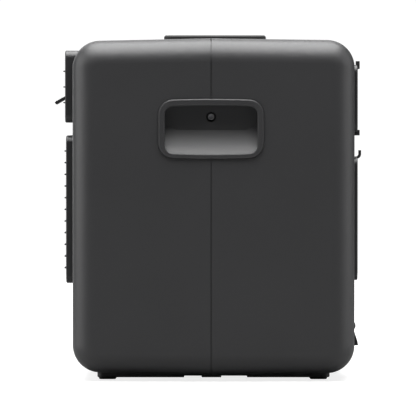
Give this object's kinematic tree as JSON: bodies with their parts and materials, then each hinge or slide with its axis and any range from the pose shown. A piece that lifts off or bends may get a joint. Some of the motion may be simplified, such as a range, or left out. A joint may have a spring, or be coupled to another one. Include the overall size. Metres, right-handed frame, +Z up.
{
  "type": "portable air conditioner",
  "caption": "Rounded box air conditioner with end carrying pockets, louvred front outlet and intake, rear duct flanges and a control panel.",
  "frame": {"origin": "on the floor, under the middle of the seam between the front and rear shells", "axes": "+Z up, -Y towards the louvred front, +X towards the power ports' end, on the right of a person who faces the front"},
  "size_m": [0.5184, 0.3025, 0.3383],
  "materials": {
    "casing_graphite": "fine satin texture",
    "base_black": "matte moulded",
    "handle_black": "smooth satin",
    "grille_black": "satin moulded",
    "vane_black": "satin moulded",
    "rubber_black": "matte rubber",
    "screw_steel": "zinc plated",
    "sheet_steel": "galvanised sheet",
    "fascia_gloss": "gloss",
    "display_glass": "tinted clear",
    "display_black": "dark display",
    "circuit_green": "solder mask",
    "button_grey": "soft matte",
    "filter_mesh": "woven mesh in a moulded frame",
    "duct_white": "foam lined",
    "socket_black": "semi gloss",
    "contact_metal": "nickel plated",
    "pan_black": "matte moulded",
    "foam_grey": "insulation foam",
    "coil_aluminium": "thin rolled fins",
    "wheel_black": "matte moulded",
    "motor_steel": "satin",
    "compressor_black": "semi gloss paint",
    "line_copper": "drawn copper tube"
  },
  "bodies": {
    "casing": {"front_shell": "casing_graphite", "rear_shell": "casing_graphite", "base_tray": "base_black", "rubber_feet": "rubber_black", "tray_screws": "screw_steel", "top_pad": "rubber_black", "handle_cup_right": "handle_black", "handle_cup_left": "handle_black", "handle_screws": "screw_steel", "handle_brackets": "sheet_steel", "outlet_frame": "grille_black", "outlet_fins": "grille_black", "outlet_air_box": "duct_white", "control_fascia": "fascia_gloss", "display_window": "display_glass", "display_module": "display_black", "control_board": "circuit_green", "exhaust_flange": "grille_black", "rear_intake_flange": "grille_black", "rear_filter": "filter_mesh", "exhaust_air_box": "duct_white", "socket_panel": "socket_black", "ac_inlet": "socket_black", "ac_inlet_pins": "contact_metal", "dc_jacks": "contact_metal", "drain_spout": "grille_black", "chassis": "sheet_steel", "drip_pan": "pan_black", "divider": "foam_grey", "compartment_wall": "sheet_steel", "evaporator": "coil_aluminium", "condenser": "coil_aluminium", "evaporator_fan_housing": "duct_white", "condenser_fan_housing": "duct_white", "fan_motors": "motor_steel", "compressor": "compressor_black", "compressor_mounts": "rubber_black", "accumulator": "compressor_black", "suction_line": "line_copper", "discharge_line": "line_copper", "liquid_line": "line_copper", "electronics_tray": "pan_black", "main_board": "circuit_green", "heat_sink": "coil_aluminium"},
    "vane_1": {"outlet_vane_1": "vane_black"},
    "vane_2": {"outlet_vane_2": "vane_black"},
    "vane_3": {"outlet_vane_3": "vane_black"},
    "vane_4": {"outlet_vane_4": "vane_black"},
    "vane_linkage": {"vane_link": "vane_black"},
    "intake_cover": {"front_intake_cover": "grille_black", "front_filter": "filter_mesh"},
    "port_flap": {"port_cover": "rubber_black"},
    "plug": {"drain_plug": "rubber_black"},
    "cold_fan": {"evaporator_fan_wheel": "wheel_black"},
    "hot_fan": {"condenser_fan_wheel": "wheel_black"},
    "power_button_key": {"power_button": "button_grey"},
    "mode_button_key": {"mode_button": "button_grey"},
    "fan_button_key": {"fan_button": "button_grey"},
    "cooler_button_key": {"cooler_button": "button_grey"},
    "warmer_button_key": {"warmer_button": "button_grey"}
  },
  "joints": [
    {"name": "vane_3_tilt", "type": "hinge", "parent": "casing", "child": "vane_3", "pos_m": [0.06, -0.1381, 0.27955], "axis": [-1, 0, 0], "range_deg": [0, 60]},
    {"name": "vane_1_tilt", "type": "hinge", "parent": "casing", "child": "vane_1", "pos_m": [0.06, -0.1381, 0.31045], "axis": [-1, 0, 0], "range_deg": [0, 60]},
    {"name": "vane_2_tilt", "type": "hinge", "parent": "casing", "child": "vane_2", "pos_m": [0.06, -0.1381, 0.295], "axis": [-1, 0, 0], "range_deg": [0, 60]},
    {"name": "vane_4_tilt", "type": "hinge", "parent": "casing", "child": "vane_4", "pos_m": [0.06, -0.1381, 0.2641], "axis": [-1, 0, 0], "range_deg": [0, 60]},
    {"name": "linkage_turn", "type": "hinge", "parent": "vane_3", "child": "vane_linkage", "pos_m": [0.195, -0.12944, 0.28455], "axis": [-1, 0, 0], "range_deg": [-60, 0]},
    {"name": "power_button_press", "type": "slide", "parent": "casing", "child": "power_button_key", "axis": [0, 1, 0], "range_m": [0, 0.0008], "stiffness_N_per_m": 900},
    {"name": "mode_button_press", "type": "slide", "parent": "casing", "child": "mode_button_key", "axis": [0, 1, 0], "range_m": [0, 0.0008], "stiffness_N_per_m": 900},
    {"name": "fan_button_press", "type": "slide", "parent": "casing", "child": "fan_button_key", "axis": [0, 1, 0], "range_m": [0, 0.0008], "stiffness_N_per_m": 900},
    {"name": "cooler_button_press", "type": "slide", "parent": "casing", "child": "cooler_button_key", "axis": [0, 1, 0], "range_m": [0, 0.0008], "stiffness_N_per_m": 900},
    {"name": "warmer_button_press", "type": "slide", "parent": "casing", "child": "warmer_button_key", "axis": [0, 1, 0], "range_m": [0, 0.0008], "stiffness_N_per_m": 900},
    {"name": "intake_cover_pull", "type": "slide", "parent": "casing", "child": "intake_cover", "axis": [0, -1, 0], "range_m": [0, 0.04]},
    {"name": "port_flap_lift", "type": "hinge", "parent": "casing", "child": "port_flap", "pos_m": [0.172, 0.13985, 0.08985], "axis": [1, 0, 0], "range_deg": [0, 115]},
    {"name": "plug_pull", "type": "slide", "parent": "casing", "child": "plug", "axis": [0, 1, 0], "range_m": [0, 0.03]},
    {"name": "cold_fan_spin", "type": "hinge", "parent": "casing", "child": "cold_fan", "pos_m": [0.062, -0.04, 0.138], "axis": [0, -1, 0], "continuous": true},
    {"name": "hot_fan_spin", "type": "hinge", "parent": "casing", "child": "hot_fan", "pos_m": [0.062, 0.04, 0.138], "axis": [0, 1, 0], "continuous": true}
  ],
  "couplings": [
    {"joint": "vane_1_tilt", "follows": "vane_3_tilt", "ratio": 1},
    {"joint": "vane_2_tilt", "follows": "vane_3_tilt", "ratio": 1},
    {"joint": "vane_4_tilt", "follows": "vane_3_tilt", "ratio": 1},
    {"joint": "linkage_turn", "follows": "vane_3_tilt", "ratio": -1}
  ]
}
